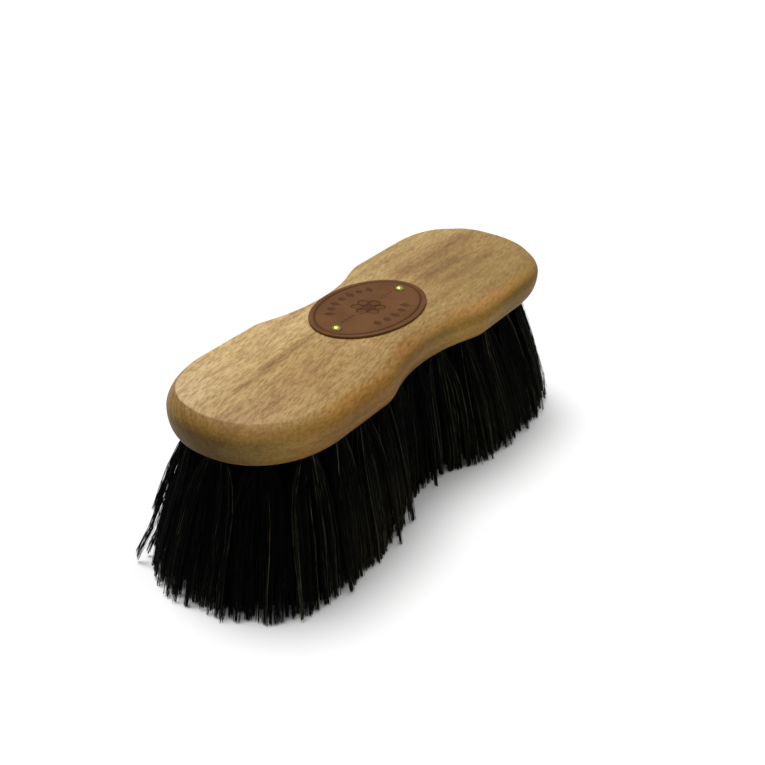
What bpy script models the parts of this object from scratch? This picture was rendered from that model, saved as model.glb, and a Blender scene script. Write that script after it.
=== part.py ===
"""Waisted hand brush: a beech block, an oval leather badge held by two brass nails, and horsehair tufts.

Metres, +Z up. The brush stands on its trimmed hair. The origin lies on the trim plane under the middle
of the block, +X runs along the block and +Y across it.
"""

import math

import bmesh
import bpy
from mathutils import Matrix, Vector

# Driving dimensions of the block
BLOCK_LENGTH = 0.190
BLOCK_WIDTH = 0.062
BLOCK_THICKNESS = 0.0148
WAIST_WIDTH = 0.050
WAIST_REACH = 0.030  # from the middle of the block to where the waist meets the straight side
WAIST_CORNER_BLEND = 0.0015  # how far the corner between waist and side is sanded back
END_LENGTH = 0.035  # each rounded end, measured along X
NEAR_END_FULLNESS = 2.15  # the end towards -X; 2 is an ellipse, and more is squarer
FAR_END_FULLNESS = 2.45  # the end towards +X
WIDEST_HEIGHT = 0.0084  # above the underside
TOP_INSET = 0.0044  # from the widest outline to the flat top
UNDERSIDE_INSET = 0.0043  # from the widest outline to the underside

# Driving dimensions of the hair
HAIR_LENGTH = 0.050  # from the underside to the trim plane
HOLE_RADIUS = 0.0033
HOLE_DEPTH = 0.0095
HOLE_MARGIN = 0.0090  # from the widest outline to the outer ring of hole centres
SPREAD_ALONG = 1.145  # where the tips fan out to along X, as a multiple of the roots' places
SPREAD_ACROSS = 1.38  # the same across the brush, at its wide parts
SPREAD_ACROSS_WAIST = 1.14
FULL_SPREAD_REACH = 0.045  # from the middle of the block to where the spread is full again
TRIM_ALLOWANCE = 0.003  # how far a tuft runs past the trim plane before it is cut
MIDDLE_RING_SHARE = 0.50  # its width, as a share of the outer ring's
MIDDLE_RING_PULL_IN = 0.0135  # how much further it stops from each end than the outer ring
OUTER_RING_COUNT = 28
MIDDLE_RING_COUNT = 18
CENTRE_ROW_COUNT = 9
CENTRE_ROW_PITCH = 0.014

# Driving dimensions of the badge and its nails
BADGE_LENGTH = 0.0536
BADGE_WIDTH = 0.0373
BADGE_THICKNESS = 0.0009
BADGE_EDGE = 0.0003
BADGE_PLACE = (0.0015, 0.0020)  # a little off the block's middle, as a hand-placed badge sits
NAIL_SPACING = 0.0411
NAILS_PLACE = (0.0007, 0.0012)  # midway between the nails
NAIL_HEAD_RADIUS = 0.0019
NAIL_HEAD_HEIGHT = 0.0013
NAIL_SHANK_RADIUS = 0.0006
NAIL_LENGTH = 0.0095
NAIL_POINT_LENGTH = 0.0015
DRILL_CLEARANCE = 0.002  # how far above the badge each nail hole is drilled from

GAP = 0.0003  # between pieces that touch

OUTLINE_END_STEPS = 10
OUTLINE_SIDE_STEPS = 20
ROUND_SIDES = 12

UNDERSIDE_HEIGHT = HAIR_LENGTH
TOP_HEIGHT = UNDERSIDE_HEIGHT + BLOCK_THICKNESS


def clear_scene():
    """Removes the objects that the file opens with."""
    for old in list(bpy.data.objects):
        bpy.data.objects.remove(old)


def make_collection(name):
    """A new collection in the scene."""
    collection = bpy.data.collections.new(name)
    bpy.context.scene.collection.children.link(collection)
    return collection


def make_material(name, colour, roughness, metallic=0.0):
    """A Principled material of one colour."""
    material = bpy.data.materials.new(name)
    material.use_nodes = True
    shader = material.node_tree.nodes["Principled BSDF"]
    shader.inputs["Base Color"].default_value = (*colour, 1.0)
    shader.inputs["Roughness"].default_value = roughness
    shader.inputs["Metallic"].default_value = metallic
    return material


def add_object(name, bm, collection, material=None, parent=None):
    """Turns a bmesh into a named object."""
    bmesh.ops.recalc_face_normals(bm, faces=bm.faces)
    mesh = bpy.data.meshes.new(name)
    bm.to_mesh(mesh)
    bm.free()
    mesh.shade_smooth()
    mesh.set_sharp_from_angle(angle=math.radians(30))
    if material:
        mesh.materials.append(material)
    added = bpy.data.objects.new(name, mesh)
    added.parent = parent
    collection.objects.link(added)
    return added


def cut_with(target, cutters):
    """Cuts every object of a collection from the target."""
    boolean = target.modifiers.new("cut", "BOOLEAN")
    boolean.operation = "DIFFERENCE"
    boolean.solver = "EXACT"
    boolean.operand_type = "COLLECTION"
    boolean.collection = cutters


def add_cutter(name, bm, collection):
    """A helper that cuts a hole and is no piece of the brush."""
    cutter = add_object(name, bm, collection)
    cutter.hide_render = True
    cutter.display_type = "WIRE"
    return cutter


def half_width(x, fullness=NEAR_END_FULLNESS):
    """Half the block's width at a place along it: an oblong with round ends, cut in by the waist's arc."""
    side = BLOCK_WIDTH / 2
    end_start = BLOCK_LENGTH / 2 - END_LENGTH
    beyond = max(0.0, abs(x) - end_start) / END_LENGTH
    oblong = side * max(0.0, 1 - beyond**fullness) ** (1 / fullness)
    dip = (BLOCK_WIDTH - WAIST_WIDTH) / 2
    waist_radius = (WAIST_REACH**2 + dip**2) / (2 * dip)
    centre = WAIST_WIDTH / 2 + waist_radius
    waist = centre - math.sqrt(max(0.0, waist_radius**2 - x * x))
    meeting = max(0.0, 1 - abs(oblong - waist) / WAIST_CORNER_BLEND)
    return min(oblong, waist) - WAIST_CORNER_BLEND * meeting**2 / 4


def quarter_outline(fullness):
    """The outline's points from +X round to +Y."""
    end_start = BLOCK_LENGTH / 2 - END_LENGTH
    places = []
    for step in range(OUTLINE_END_STEPS):
        angle = math.pi / 2 * step / OUTLINE_END_STEPS
        places.append(end_start + END_LENGTH * math.cos(angle) ** (2 / fullness))
    for step in range(OUTLINE_SIDE_STEPS + 1):
        places.append(end_start * (1 - step / OUTLINE_SIDE_STEPS))
    return [Vector((x, half_width(x, fullness))) for x in places]


def block_outline():
    """The widest outline of the block, anticlockwise from +X."""
    far = quarter_outline(FAR_END_FULLNESS)
    near = quarter_outline(NEAR_END_FULLNESS)
    upper_left = [Vector((-p.x, p.y)) for p in reversed(near[:-1])]
    lower_left = [Vector((-p.x, -p.y)) for p in near[1:]]
    lower_right = [Vector((p.x, -p.y)) for p in reversed(far[1:-1])]
    return far + upper_left + lower_left + lower_right


def inset(points, distance):
    """A closed outline moved inwards."""
    moved = []
    for i, point in enumerate(points):
        along = points[(i + 1) % len(points)] - points[i - 1]
        inward = Vector((-along.y, along.x)).normalized()
        moved.append(point + inward * distance)
    return moved


def side_profile():
    """(inset, height above the underside) up the side: rounded under, then domed to a crisp top edge."""
    under_steps, dome_steps = 3, 4
    profile = []
    for step in range(under_steps):
        angle = math.pi / 2 * (1 - step / under_steps)
        profile.append(
            (UNDERSIDE_INSET * (1 - math.cos(angle)), WIDEST_HEIGHT * (1 - math.sin(angle)))
        )
    for step in range(dome_steps + 1):
        share = step / dome_steps
        profile.append(
            (TOP_INSET * share**2, WIDEST_HEIGHT + (BLOCK_THICKNESS - WIDEST_HEIGHT) * share)
        )
    return profile


def loft(rings):
    """A closed body through rings of points that correspond, with flat ends."""
    bm = bmesh.new()
    loops = [[bm.verts.new(point) for point in ring] for ring in rings]
    for low, high in zip(loops, loops[1:]):
        for i in range(len(low)):
            bm.faces.new((low[i - 1], low[i], high[i], high[i - 1]))
    bm.faces.new(reversed(loops[0]))
    bm.faces.new(loops[-1])
    return bm


def round_bar(radius_low, radius_high, length):
    """A round bar from the origin down to -length, tapered between two radii."""
    bm = bmesh.new()
    bmesh.ops.create_cone(
        bm,
        cap_ends=True,
        segments=ROUND_SIDES,
        radius1=radius_low,
        radius2=radius_high,
        depth=length,
        matrix=Matrix.Translation((0, 0, -length / 2)),
    )
    return bm


def spaced_along(points, count):
    """Places at equal distances round a closed outline, starting at its first point."""
    closed = points + points[:1]
    lengths = [(b - a).length for a, b in zip(closed, closed[1:])]
    pitch = sum(lengths) / count
    places, travelled, wanted = [], 0.0, 0.0
    for a, b, length in zip(closed, closed[1:], lengths):
        while len(places) < count and wanted <= travelled + length:
            places.append(a.lerp(b, (wanted - travelled) / length))
            wanted += pitch
        travelled += length
    return places


def tuft_roots():
    """Where each tuft leaves the underside: two rings that follow the outline, and a row down the middle."""
    outer = inset(block_outline(), HOLE_MARGIN)
    half_length = max(point.x for point in outer)
    shorten = (half_length - MIDDLE_RING_PULL_IN) / half_length
    middle = [Vector((p.x * shorten, p.y * MIDDLE_RING_SHARE)) for p in outer]
    roots = spaced_along(outer, OUTER_RING_COUNT) + spaced_along(middle, MIDDLE_RING_COUNT)
    for i in range(CENTRE_ROW_COUNT):
        roots.append(Vector(((i - (CENTRE_ROW_COUNT - 1) / 2) * CENTRE_ROW_PITCH, 0.0)))
    return roots


def tuft_tip(root):
    """Where a tuft meets the trim plane: fanned out from its root, and least at the waist."""
    share = min(1.0, abs(root.x) / FULL_SPREAD_REACH)
    smooth = share * share * (3 - 2 * share)
    across = SPREAD_ACROSS_WAIST + (SPREAD_ACROSS - SPREAD_ACROSS_WAIST) * smooth
    return Vector((root.x * SPREAD_ALONG, root.y * across))


def tip_radius(tips, i):
    """A tuft opens until it meets its nearest neighbour."""
    nearest = min((tips[i] - other).length for k, other in enumerate(tips) if k != i)
    return nearest / 2 - GAP


def make_block(collection, cutters, material, parent):
    """The wooden block, drilled for the tufts and the nails."""
    outline = block_outline()
    rings = []
    for distance, height in side_profile():
        level = UNDERSIDE_HEIGHT + height
        rings.append([point.to_3d() + Vector((0, 0, level)) for point in inset(outline, distance)])
    block = add_object("wooden_block", loft(rings), collection, material, parent)
    cut_with(block, cutters)
    return block


def make_tuft(name, root, tip, radius, collection, cutters, material, parent):
    """One bundle of hair and the blind hole it is set in, both leaning the way the tuft fans out."""
    mouth = root.to_3d() + Vector((0, 0, UNDERSIDE_HEIGHT))
    reach = tip.to_3d() - mouth
    lean = Vector((0, 0, -1)).rotation_difference(reach)
    way_in = -reach.normalized()

    hole = add_cutter(name + "_hole", round_bar(HOLE_RADIUS, HOLE_RADIUS, 2 * HOLE_DEPTH), cutters)
    hole.rotation_mode = "QUATERNION"
    hole.rotation_quaternion = lean
    hole.location = mouth + way_in * HOLE_DEPTH

    buried = HOLE_DEPTH - GAP
    length = buried + reach.length + TRIM_ALLOWANCE
    mouth_radius = HOLE_RADIUS - 2 * GAP
    flare = (radius - mouth_radius) / reach.length
    bm = round_bar(radius + flare * TRIM_ALLOWANCE, mouth_radius - flare * buried, length)
    down = lean.inverted() @ Vector((0, 0, -1))
    start = mouth + way_in * buried
    cut = bmesh.ops.bisect_plane(
        bm,
        geom=bm.verts[:] + bm.edges[:] + bm.faces[:],
        plane_co=down * start.z,
        plane_no=down,
        clear_outer=True,
    )["geom_cut"]
    bmesh.ops.contextual_create(bm, geom=[e for e in cut if isinstance(e, bmesh.types.BMEdge)])
    tuft = add_object(name, bm, collection, material, parent)
    tuft.rotation_mode = "QUATERNION"
    tuft.rotation_quaternion = lean
    tuft.location = start
    return tuft


def make_badge(collection, cutters, material, parent):
    """The oval leather badge, pierced for its two nails."""
    bm = bmesh.new()
    bmesh.ops.create_cone(
        bm,
        cap_ends=True,
        segments=48,
        radius1=1.0,
        radius2=1.0,
        depth=1.0,
        matrix=Matrix.Diagonal((BADGE_LENGTH / 2, BADGE_WIDTH / 2, BADGE_THICKNESS, 1.0)),
    )
    badge = add_object("leather_badge", bm, collection, material, parent)
    badge.location = (*BADGE_PLACE, TOP_HEIGHT + GAP + BADGE_THICKNESS / 2)
    bevel = badge.modifiers.new("soft_edge", "BEVEL")
    bevel.width = BADGE_EDGE
    bevel.segments = 2
    bevel.limit_method = "ANGLE"
    cut_with(badge, cutters)
    return badge


def make_nail(name, x, collection, material, parent):
    """A round-headed nail turned about its own axis, its head resting on the badge."""
    dome_steps = 4
    profile = [Vector((0, 0, NAIL_HEAD_HEIGHT))]
    for step in range(1, dome_steps + 1):
        angle = math.pi / 2 * step / dome_steps
        profile.append(
            Vector((NAIL_HEAD_RADIUS * math.sin(angle), 0, NAIL_HEAD_HEIGHT * math.cos(angle)))
        )
    profile.append(Vector((NAIL_SHANK_RADIUS, 0, 0)))
    profile.append(Vector((NAIL_SHANK_RADIUS, 0, NAIL_POINT_LENGTH - NAIL_LENGTH)))
    profile.append(Vector((0, 0, -NAIL_LENGTH)))
    mesh = bpy.data.meshes.new(name)
    mesh.from_pydata(profile, [(i, i + 1) for i in range(len(profile) - 1)], [])
    mesh.materials.append(material)
    nail = bpy.data.objects.new(name, mesh)
    nail.parent = parent
    collection.objects.link(nail)
    nail.location = (x, NAILS_PLACE[1], TOP_HEIGHT + 2 * GAP + BADGE_THICKNESS)
    turned = nail.modifiers.new("turned", "SCREW")
    turned.steps = turned.render_steps = 16
    turned.use_merge_vertices = True
    turned.merge_threshold = 0.00001
    return nail


def make_nail_hole(name, x, cutters):
    """The hole through the badge and into the block that a nail's shank runs in."""
    above = BADGE_THICKNESS + DRILL_CLEARANCE
    length = NAIL_LENGTH + above
    radius = NAIL_SHANK_RADIUS + GAP
    hole = add_cutter(name, round_bar(radius, radius, length), cutters)
    hole.location = (x, NAILS_PLACE[1], TOP_HEIGHT + above)
    return hole


def main():
    clear_scene()
    brush = make_collection("hand_brush")
    block_cutters = make_collection("block_cutters")
    badge_cutters = make_collection("badge_cutters")
    beech = make_material("beech", (0.56, 0.38, 0.19), 0.5)
    leather = make_material("leather", (0.17, 0.07, 0.035), 0.55)
    brass = make_material("brass", (0.80, 0.68, 0.30), 0.25, 1.0)
    horsehair = make_material("horsehair", (0.012, 0.010, 0.008), 0.45)

    stand = bpy.data.objects.new("brush_on_its_hair", None)
    brush.objects.link(stand)

    make_block(brush, block_cutters, beech, stand)
    make_badge(brush, badge_cutters, leather, stand)
    for side, name in ((-1, "left"), (1, "right")):
        x = NAILS_PLACE[0] + side * NAIL_SPACING / 2
        make_nail("badge_nail_" + name, x, brush, brass, stand)
        make_nail_hole("nail_hole_" + name, x, badge_cutters)
        make_nail_hole("nail_pilot_" + name, x, block_cutters)

    roots = tuft_roots()
    tips = [tuft_tip(root) for root in roots]
    for i, (root, tip) in enumerate(zip(roots, tips)):
        name = f"hair_tuft_{i + 1:02d}"
        radius = tip_radius(tips, i)
        make_tuft(name, root, tip, radius, brush, block_cutters, horsehair, stand)


main()
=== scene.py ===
"""The looks of a waisted hand brush.

Oiled beech, a pressed leather badge, brass nails and dense black horsehair. Metres, in the frame's axes: +X
along the block, +Y across it, +Z up, with the hair tips on z = 0.
"""

import math

import bmesh
import bpy
import numpy as np
from mathutils import Matrix, Vector


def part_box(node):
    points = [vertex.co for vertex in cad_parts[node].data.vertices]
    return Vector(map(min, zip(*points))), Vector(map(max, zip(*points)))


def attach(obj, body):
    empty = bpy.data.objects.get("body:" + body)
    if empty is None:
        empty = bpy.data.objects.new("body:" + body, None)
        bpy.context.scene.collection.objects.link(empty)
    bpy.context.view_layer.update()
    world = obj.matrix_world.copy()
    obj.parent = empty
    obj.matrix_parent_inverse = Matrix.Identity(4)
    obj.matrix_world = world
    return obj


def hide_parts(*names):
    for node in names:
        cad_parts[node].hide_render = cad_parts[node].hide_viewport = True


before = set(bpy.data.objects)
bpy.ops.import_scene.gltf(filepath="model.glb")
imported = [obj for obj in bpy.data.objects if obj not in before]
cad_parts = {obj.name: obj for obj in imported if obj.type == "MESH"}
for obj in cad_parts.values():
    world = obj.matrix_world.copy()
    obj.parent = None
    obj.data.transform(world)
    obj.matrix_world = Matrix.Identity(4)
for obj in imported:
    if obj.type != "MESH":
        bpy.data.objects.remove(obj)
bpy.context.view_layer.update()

MM = 0.001

# The block, read from the frame where it can be
BLOCK_LOW, BLOCK_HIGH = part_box("wooden_block")
UNDERSIDE = BLOCK_LOW.z
TOP = BLOCK_HIGH.z
HALF_LENGTH = BLOCK_HIGH.x
HALF_WIDTH = BLOCK_HIGH.y
WAIST_HALF_WIDTH = 25.0 * MM
WAIST_REACH = 30.0 * MM
WAIST_CORNER_BLEND = 1.5 * MM
END_LENGTH = 35.0 * MM
NEAR_END_FULLNESS = 2.15  # the end towards -X; 2 is an ellipse, and more is squarer
FAR_END_FULLNESS = 2.45
WIDEST_HEIGHT = 8.4 * MM  # above the underside
TOP_INSET = 4.4 * MM  # from the widest outline to the flat top
SOFT_TOP_INSET = 9.0 * MM  # where the top edge is sanded round
REAR_FULLNESS = 0.25  # how much less the rear's top edge is inset
FAR_EDGE_FULLNESS = 0.42  # the same for the far end's
UNDERSIDE_INSET = 4.3 * MM
HOLE_RADIUS = 3.3 * MM
PILOT_RADIUS = 0.8 * MM
SHARP_BLOCK_EDGE = math.radians(35)

# The grain: the middle of the tree, and brown streaks as start, end, middle, half width (mm) and strength
PITH_ACROSS = -21.0 * MM
PITH_HEIGHT = 94.0 * MM
RING_WANDER = 12.0 * MM
STREAK_WANDER = 9.0 * MM
FLECK_TURN = -0.20  # the ray flecks' angle to the block, in radians
STREAKS = (
    (-58, -27, 5.5, 1.7, 1.0),
    (-76, -50, 3.2, 1.6, 0.45),
    (-54, -32, -8.5, 1.6, 0.6),
    (32, 88, 8.6, 3.8, 0.95),
    (35, 68, 0.5, 3.4, 0.9),
    (36, 77, -8.6, 3.0, 0.9),
)

# Colours, as linear red, green and blue
BEECH_LIGHT = (0.422, 0.283, 0.118)
BEECH_DARK = (0.324, 0.208, 0.085)
BEECH_CLOUD = (0.360, 0.215, 0.094)
BEECH_RING_LINE = (0.20, 0.122, 0.042)
BEECH_OCHRE = (0.39, 0.205, 0.062)  # the front shoulder: the oil's ochre, with painted warm light where light falls on it
STREAK_TINT = (0.62, 0.53, 0.50)
LEATHER_DARK = (0.104, 0.044, 0.0155)
LEATHER_LIGHT = (0.128, 0.056, 0.0195)
LEATHER_PRESSED = (0.058, 0.020, 0.008)
# the cut edge's raw colour, lightened as painted light on a wall that faces away from the light
LEATHER_LIT_CUT_EDGE = (0.150, 0.080, 0.020)
BRASS_BRIGHT = (0.66, 0.60, 0.17)
BRASS_TARNISHED = (0.42, 0.38, 0.08)
WIRE_DARK = (0.42, 0.42, 0.41)
WIRE_LIGHT = (0.60, 0.60, 0.58)
HORSEHAIR = (  # each kind's name and its range of colours
    ("black_horsehair", (0.0007, 0.0014, 0.0011), (0.0042, 0.0052, 0.0037)),
    ("umber_horsehair", (0.011, 0.0130, 0.0085), (0.068, 0.071, 0.045)),
    ("brown_horsehair", (0.06, 0.043, 0.024), (0.22, 0.155, 0.085)),
)
HAIR_FRONT_LIGHT = (0.031, 0.0260, 0.0138)  # painted light, added on the lower hair along the front
HAIR_SHADE = (0.0004, 0.0008, 0.0008)  # painted shade on the near end's rear side
FLOOR_WHITE = (0.72, 0.72, 0.72, 1.0)
GLOW_WHITE = (1.0, 1.0, 1.0, 1.0)

# The badge and nails
BADGE_LOW, BADGE_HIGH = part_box("leather_badge")
BADGE_SINK = 0.3 * MM  # the frame's gap under the badge, which the real one doesn't have
BADGE_EDGE_RADIUS = 0.3 * MM
RIM_LINE = 2.15 * MM  # from the badge's edge to its pressed rim line
RIM_LINE_WIDTH = 0.62 * MM
CELL = 2.45 * MM  # a honeycomb cell's side
CELL_LINE_WIDTH = 0.34 * MM
PRESS_DEPTH = 0.30 * MM
DISH_DEPTH = 0.14 * MM  # how far a nail pulls the leather down
DISH_RADIUS = 2.6 * MM
NAILS = ("badge_nail_left", "badge_nail_right")
NAIL_SHANK = 0.6 * MM
NAIL_HEAD_HEIGHT = 1.45 * MM
NAIL_SIDES = 48

# The hair
HAIRS_IN_OUTER_TUFT = 1050
HAIRS_IN_INNER_TUFT = 480
HAIR_RADIUS = 0.105 * MM
HAIR_TIP_RADIUS = 0.08 * MM
HAIR_STEPS = (0.0, 0.07, 0.18, 0.34, 0.56, 0.80, 1.0)  # shares of the way from the hole's mouth to the tip
ROOT_REACH = 2.9 * MM  # how far from the hole's middle a tuft's outermost hairs leave it
WIDEST_ROOT = 3.0 * MM  # the same with each hair's own scatter
HAIRS_IN_CLUMP = 20
CLUMP_PULL = (0.2, 0.85)  # how far a clump's tips are drawn together, at least and at most
CLUMP_LEAN = (-0.2 * MM, 1.1 * MM)  # how far a clump leans out of the brush's face: mean and spread
FAR_LEANING_CLUMPS = 0.08
FAR_LEAN = 1.8 * MM
TIP_SCATTER = 0.24 * MM
LIGHT_CLUMPS = 0.16  # the share of clumps that has many light hairs
LIGHT_IN_LIGHT_CLUMP = 0.40
LIGHT_ELSEWHERE = 0.05
BROWN_HAIRS = 0.012
LIGHT_HAIR_THICKENING = 0.5
LONE_HAIRS = 0.004  # the share that strays on its own
OUTER_TUFT_REACH = 12.0 * MM  # a tuft is an outer one when its tip is this close to the tip outline
CROWDING_REACH = 6.0 * MM  # how deep in the brush tips are drawn towards its face
FLARE_NEAR_END = 9.7 * MM  # how far the tips stand outside the block's widest outline
FLARE_FAR_END = 9.4 * MM
FLARE_SIDE = 7.0 * MM
FLARE_WAIST = 1.7 * MM
WAIST_MIDDLE = -9.0 * MM
WAIST_STRETCH = 27.0 * MM
FLARE_CORNERS = ((-86, -24, 13, 4.6), (82, -27, 14, -1.5))  # x, y, stretch and how much further out (mm)
# Hairs bent outward by use: x, y, stretch, reach (mm), haste and length share
UNRULY = ((-79, 34, 3.0, 3.5, 1.2, 0.88), (-97, 26, 4.5, 6.2, 0.50, 1.04))

# The camera
AZIMUTH = math.radians(-57.32)
ELEVATION = math.radians(28.67)
ROLL = math.radians(0.94)
DISTANCE = 0.462
SIDEWAYS = 0.00472
UPWARDS = -0.01251
LENS = 59.1

# The light
SKY_LOW = 0.16
SKY_HIGH = 0.70
KEY_ENERGY = 2.9
KEY_SPREAD = math.radians(27)
KEY_FROM = (0.13, 0.29, 1.0)
FLOOR_GLOW = 0.08

rng = np.random.default_rng(11)


# ---------------------------------------------------------------- node trees


class Tree:
    """A material's node tree, with short calls for the nodes used here."""

    def __init__(self, name):
        self.material = bpy.data.materials.new(name)
        self.material.use_nodes = True
        self.nodes = self.material.node_tree.nodes
        self.links = self.material.node_tree.links
        self.shader = self.nodes["Principled BSDF"]

    def add(self, kind, values=None, **settings):
        """A node of that kind; values go to its inputs, by name or number, as numbers or as sockets."""
        node = self.nodes.new(kind)
        for key, value in settings.items():
            setattr(node, key, value)
        for key, value in (values or {}).items():
            if isinstance(value, bpy.types.NodeSocket):
                self.links.new(value, node.inputs[key])
            else:
                node.inputs[key].default_value = value
        return node

    def place(self):
        """The place in metres, in the frame's axes."""
        return self.add("ShaderNodeTexCoord").outputs["Object"]

    def split(self, vector):
        """A vector's three parts."""
        return self.add("ShaderNodeSeparateXYZ", {0: vector}).outputs

    def stretched(self, place, scale, turn=0.0):
        """The place scaled along each axis, after a turn about Z."""
        turned = self.add("ShaderNodeMapping", {"Vector": place, "Rotation": (0, 0, turn)})
        return self.vector("MULTIPLY", turned.outputs[0], scale)

    def vector(self, operation, a, b=(0, 0, 0)):
        return self.add("ShaderNodeVectorMath", {0: a, 1: b}, operation=operation).outputs[0]

    def maths(self, operation, a, b=0.0):
        return self.add("ShaderNodeMath", {0: a, 1: b}, operation=operation).outputs[0]

    def product(self, first, *others):
        """Shares multiplied together."""
        for other in others:
            first = self.maths("MULTIPLY", first, other)
        return first

    def noise(self, place, scale, detail=2.0, roughness=0.5):
        """Smooth noise between about 0.2 and 0.8."""
        values = {"Vector": place, "Scale": scale, "Detail": detail, "Roughness": roughness}
        return self.add("ShaderNodeTexNoise", values).outputs["Fac"]

    def ramp(self, value, low, high, to_low=0.0, to_high=1.0):
        """A smooth step from to_low, where value is low, to to_high, where it is high."""
        values = {"Value": value, 1: low, 2: high, 3: to_low, 4: to_high}
        node = self.add("ShaderNodeMapRange", values, interpolation_type="SMOOTHSTEP")
        return node.outputs[0]

    def mix(self, share, a, b, blend="MIX"):
        """Two colours mixed by a share."""
        node = self.add("ShaderNodeMix", data_type="RGBA", blend_type=blend)
        for socket, value in zip((0, 6, 7), (share, a, b)):
            if isinstance(value, bpy.types.NodeSocket):
                self.links.new(value, node.inputs[socket])
            elif socket == 0:
                node.inputs[socket].default_value = value
            else:
                node.inputs[socket].default_value = (*value, 1.0)
        return node.outputs[2]

    def tinted(self, share, tint, colour):
        """A colour multiplied by a tint, by a share."""
        return self.mix(share, colour, self.mix(1.0, colour, tint, "MULTIPLY"))

    def bump(self, height, distance, strength, under=None):
        values = {"Height": height, "Distance": distance, "Strength": strength}
        if under is not None:
            values["Normal"] = under
        return self.add("ShaderNodeBump", values).outputs[0]

    def finish(self, colour, roughness, normal=None, specular=0.5, metallic=0.0):
        """Links the shader and returns the material."""
        for key, value in {"Base Color": colour, "Roughness": roughness, "Normal": normal}.items():
            if isinstance(value, bpy.types.NodeSocket):
                self.links.new(value, self.shader.inputs[key])
            elif value is not None:
                self.shader.inputs[key].default_value = value
        self.shader.inputs["Specular IOR Level"].default_value = specular
        self.shader.inputs["Metallic"].default_value = metallic
        return self.material


def growth_rings(tree, y, z, drift):
    """Broad rings and fine lines round a pith above the block."""
    across = tree.maths("SUBTRACT", y, PITH_ACROSS)
    above = tree.maths("SUBTRACT", z, PITH_HEIGHT)
    squares = tree.maths("ADD", tree.product(across, across), tree.product(above, above))
    radius = tree.maths("ADD", tree.maths("SQRT", squares), tree.product(drift, RING_WANDER))
    rings = tree.add("ShaderNodeTexNoise", {"W": radius, "Scale": 190, "Detail": 4.0, "Roughness": 0.62},
                     noise_dimensions="1D")
    fine = tree.add("ShaderNodeTexNoise", {"W": radius, "Scale": 1300, "Detail": 1.0}, noise_dimensions="1D")
    return rings.outputs["Fac"], fine.outputs["Fac"]


def streaked(tree, place, drift, colour):
    """The colour with brown streaks along the grain."""
    x, y, _ = tree.split(place)
    ragged = tree.ramp(tree.noise(tree.stretched(place, (60, 420, 420)), 1.0, 3.0), 0.30, 0.62, 0.55, 1.0)
    for start, end, middle, half, strength in STREAKS:
        along = tree.product(tree.ramp(x, (start - 7) * MM, (start + 7) * MM),
                             tree.ramp(x, (end - 8) * MM, (end + 8) * MM, 1.0, 0.0))
        wander = tree.product(tree.maths("SUBTRACT", drift, 0.5), STREAK_WANDER)
        off = tree.maths("ABSOLUTE", tree.maths("SUBTRACT", tree.maths("ADD", y, wander), middle * MM))
        across = tree.ramp(off, 0.2 * half * MM, 1.7 * half * MM, 1.0, 0.0)
        colour = tree.tinted(tree.product(along, across, ragged, strength), STREAK_TINT, colour)
    return colour


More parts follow.
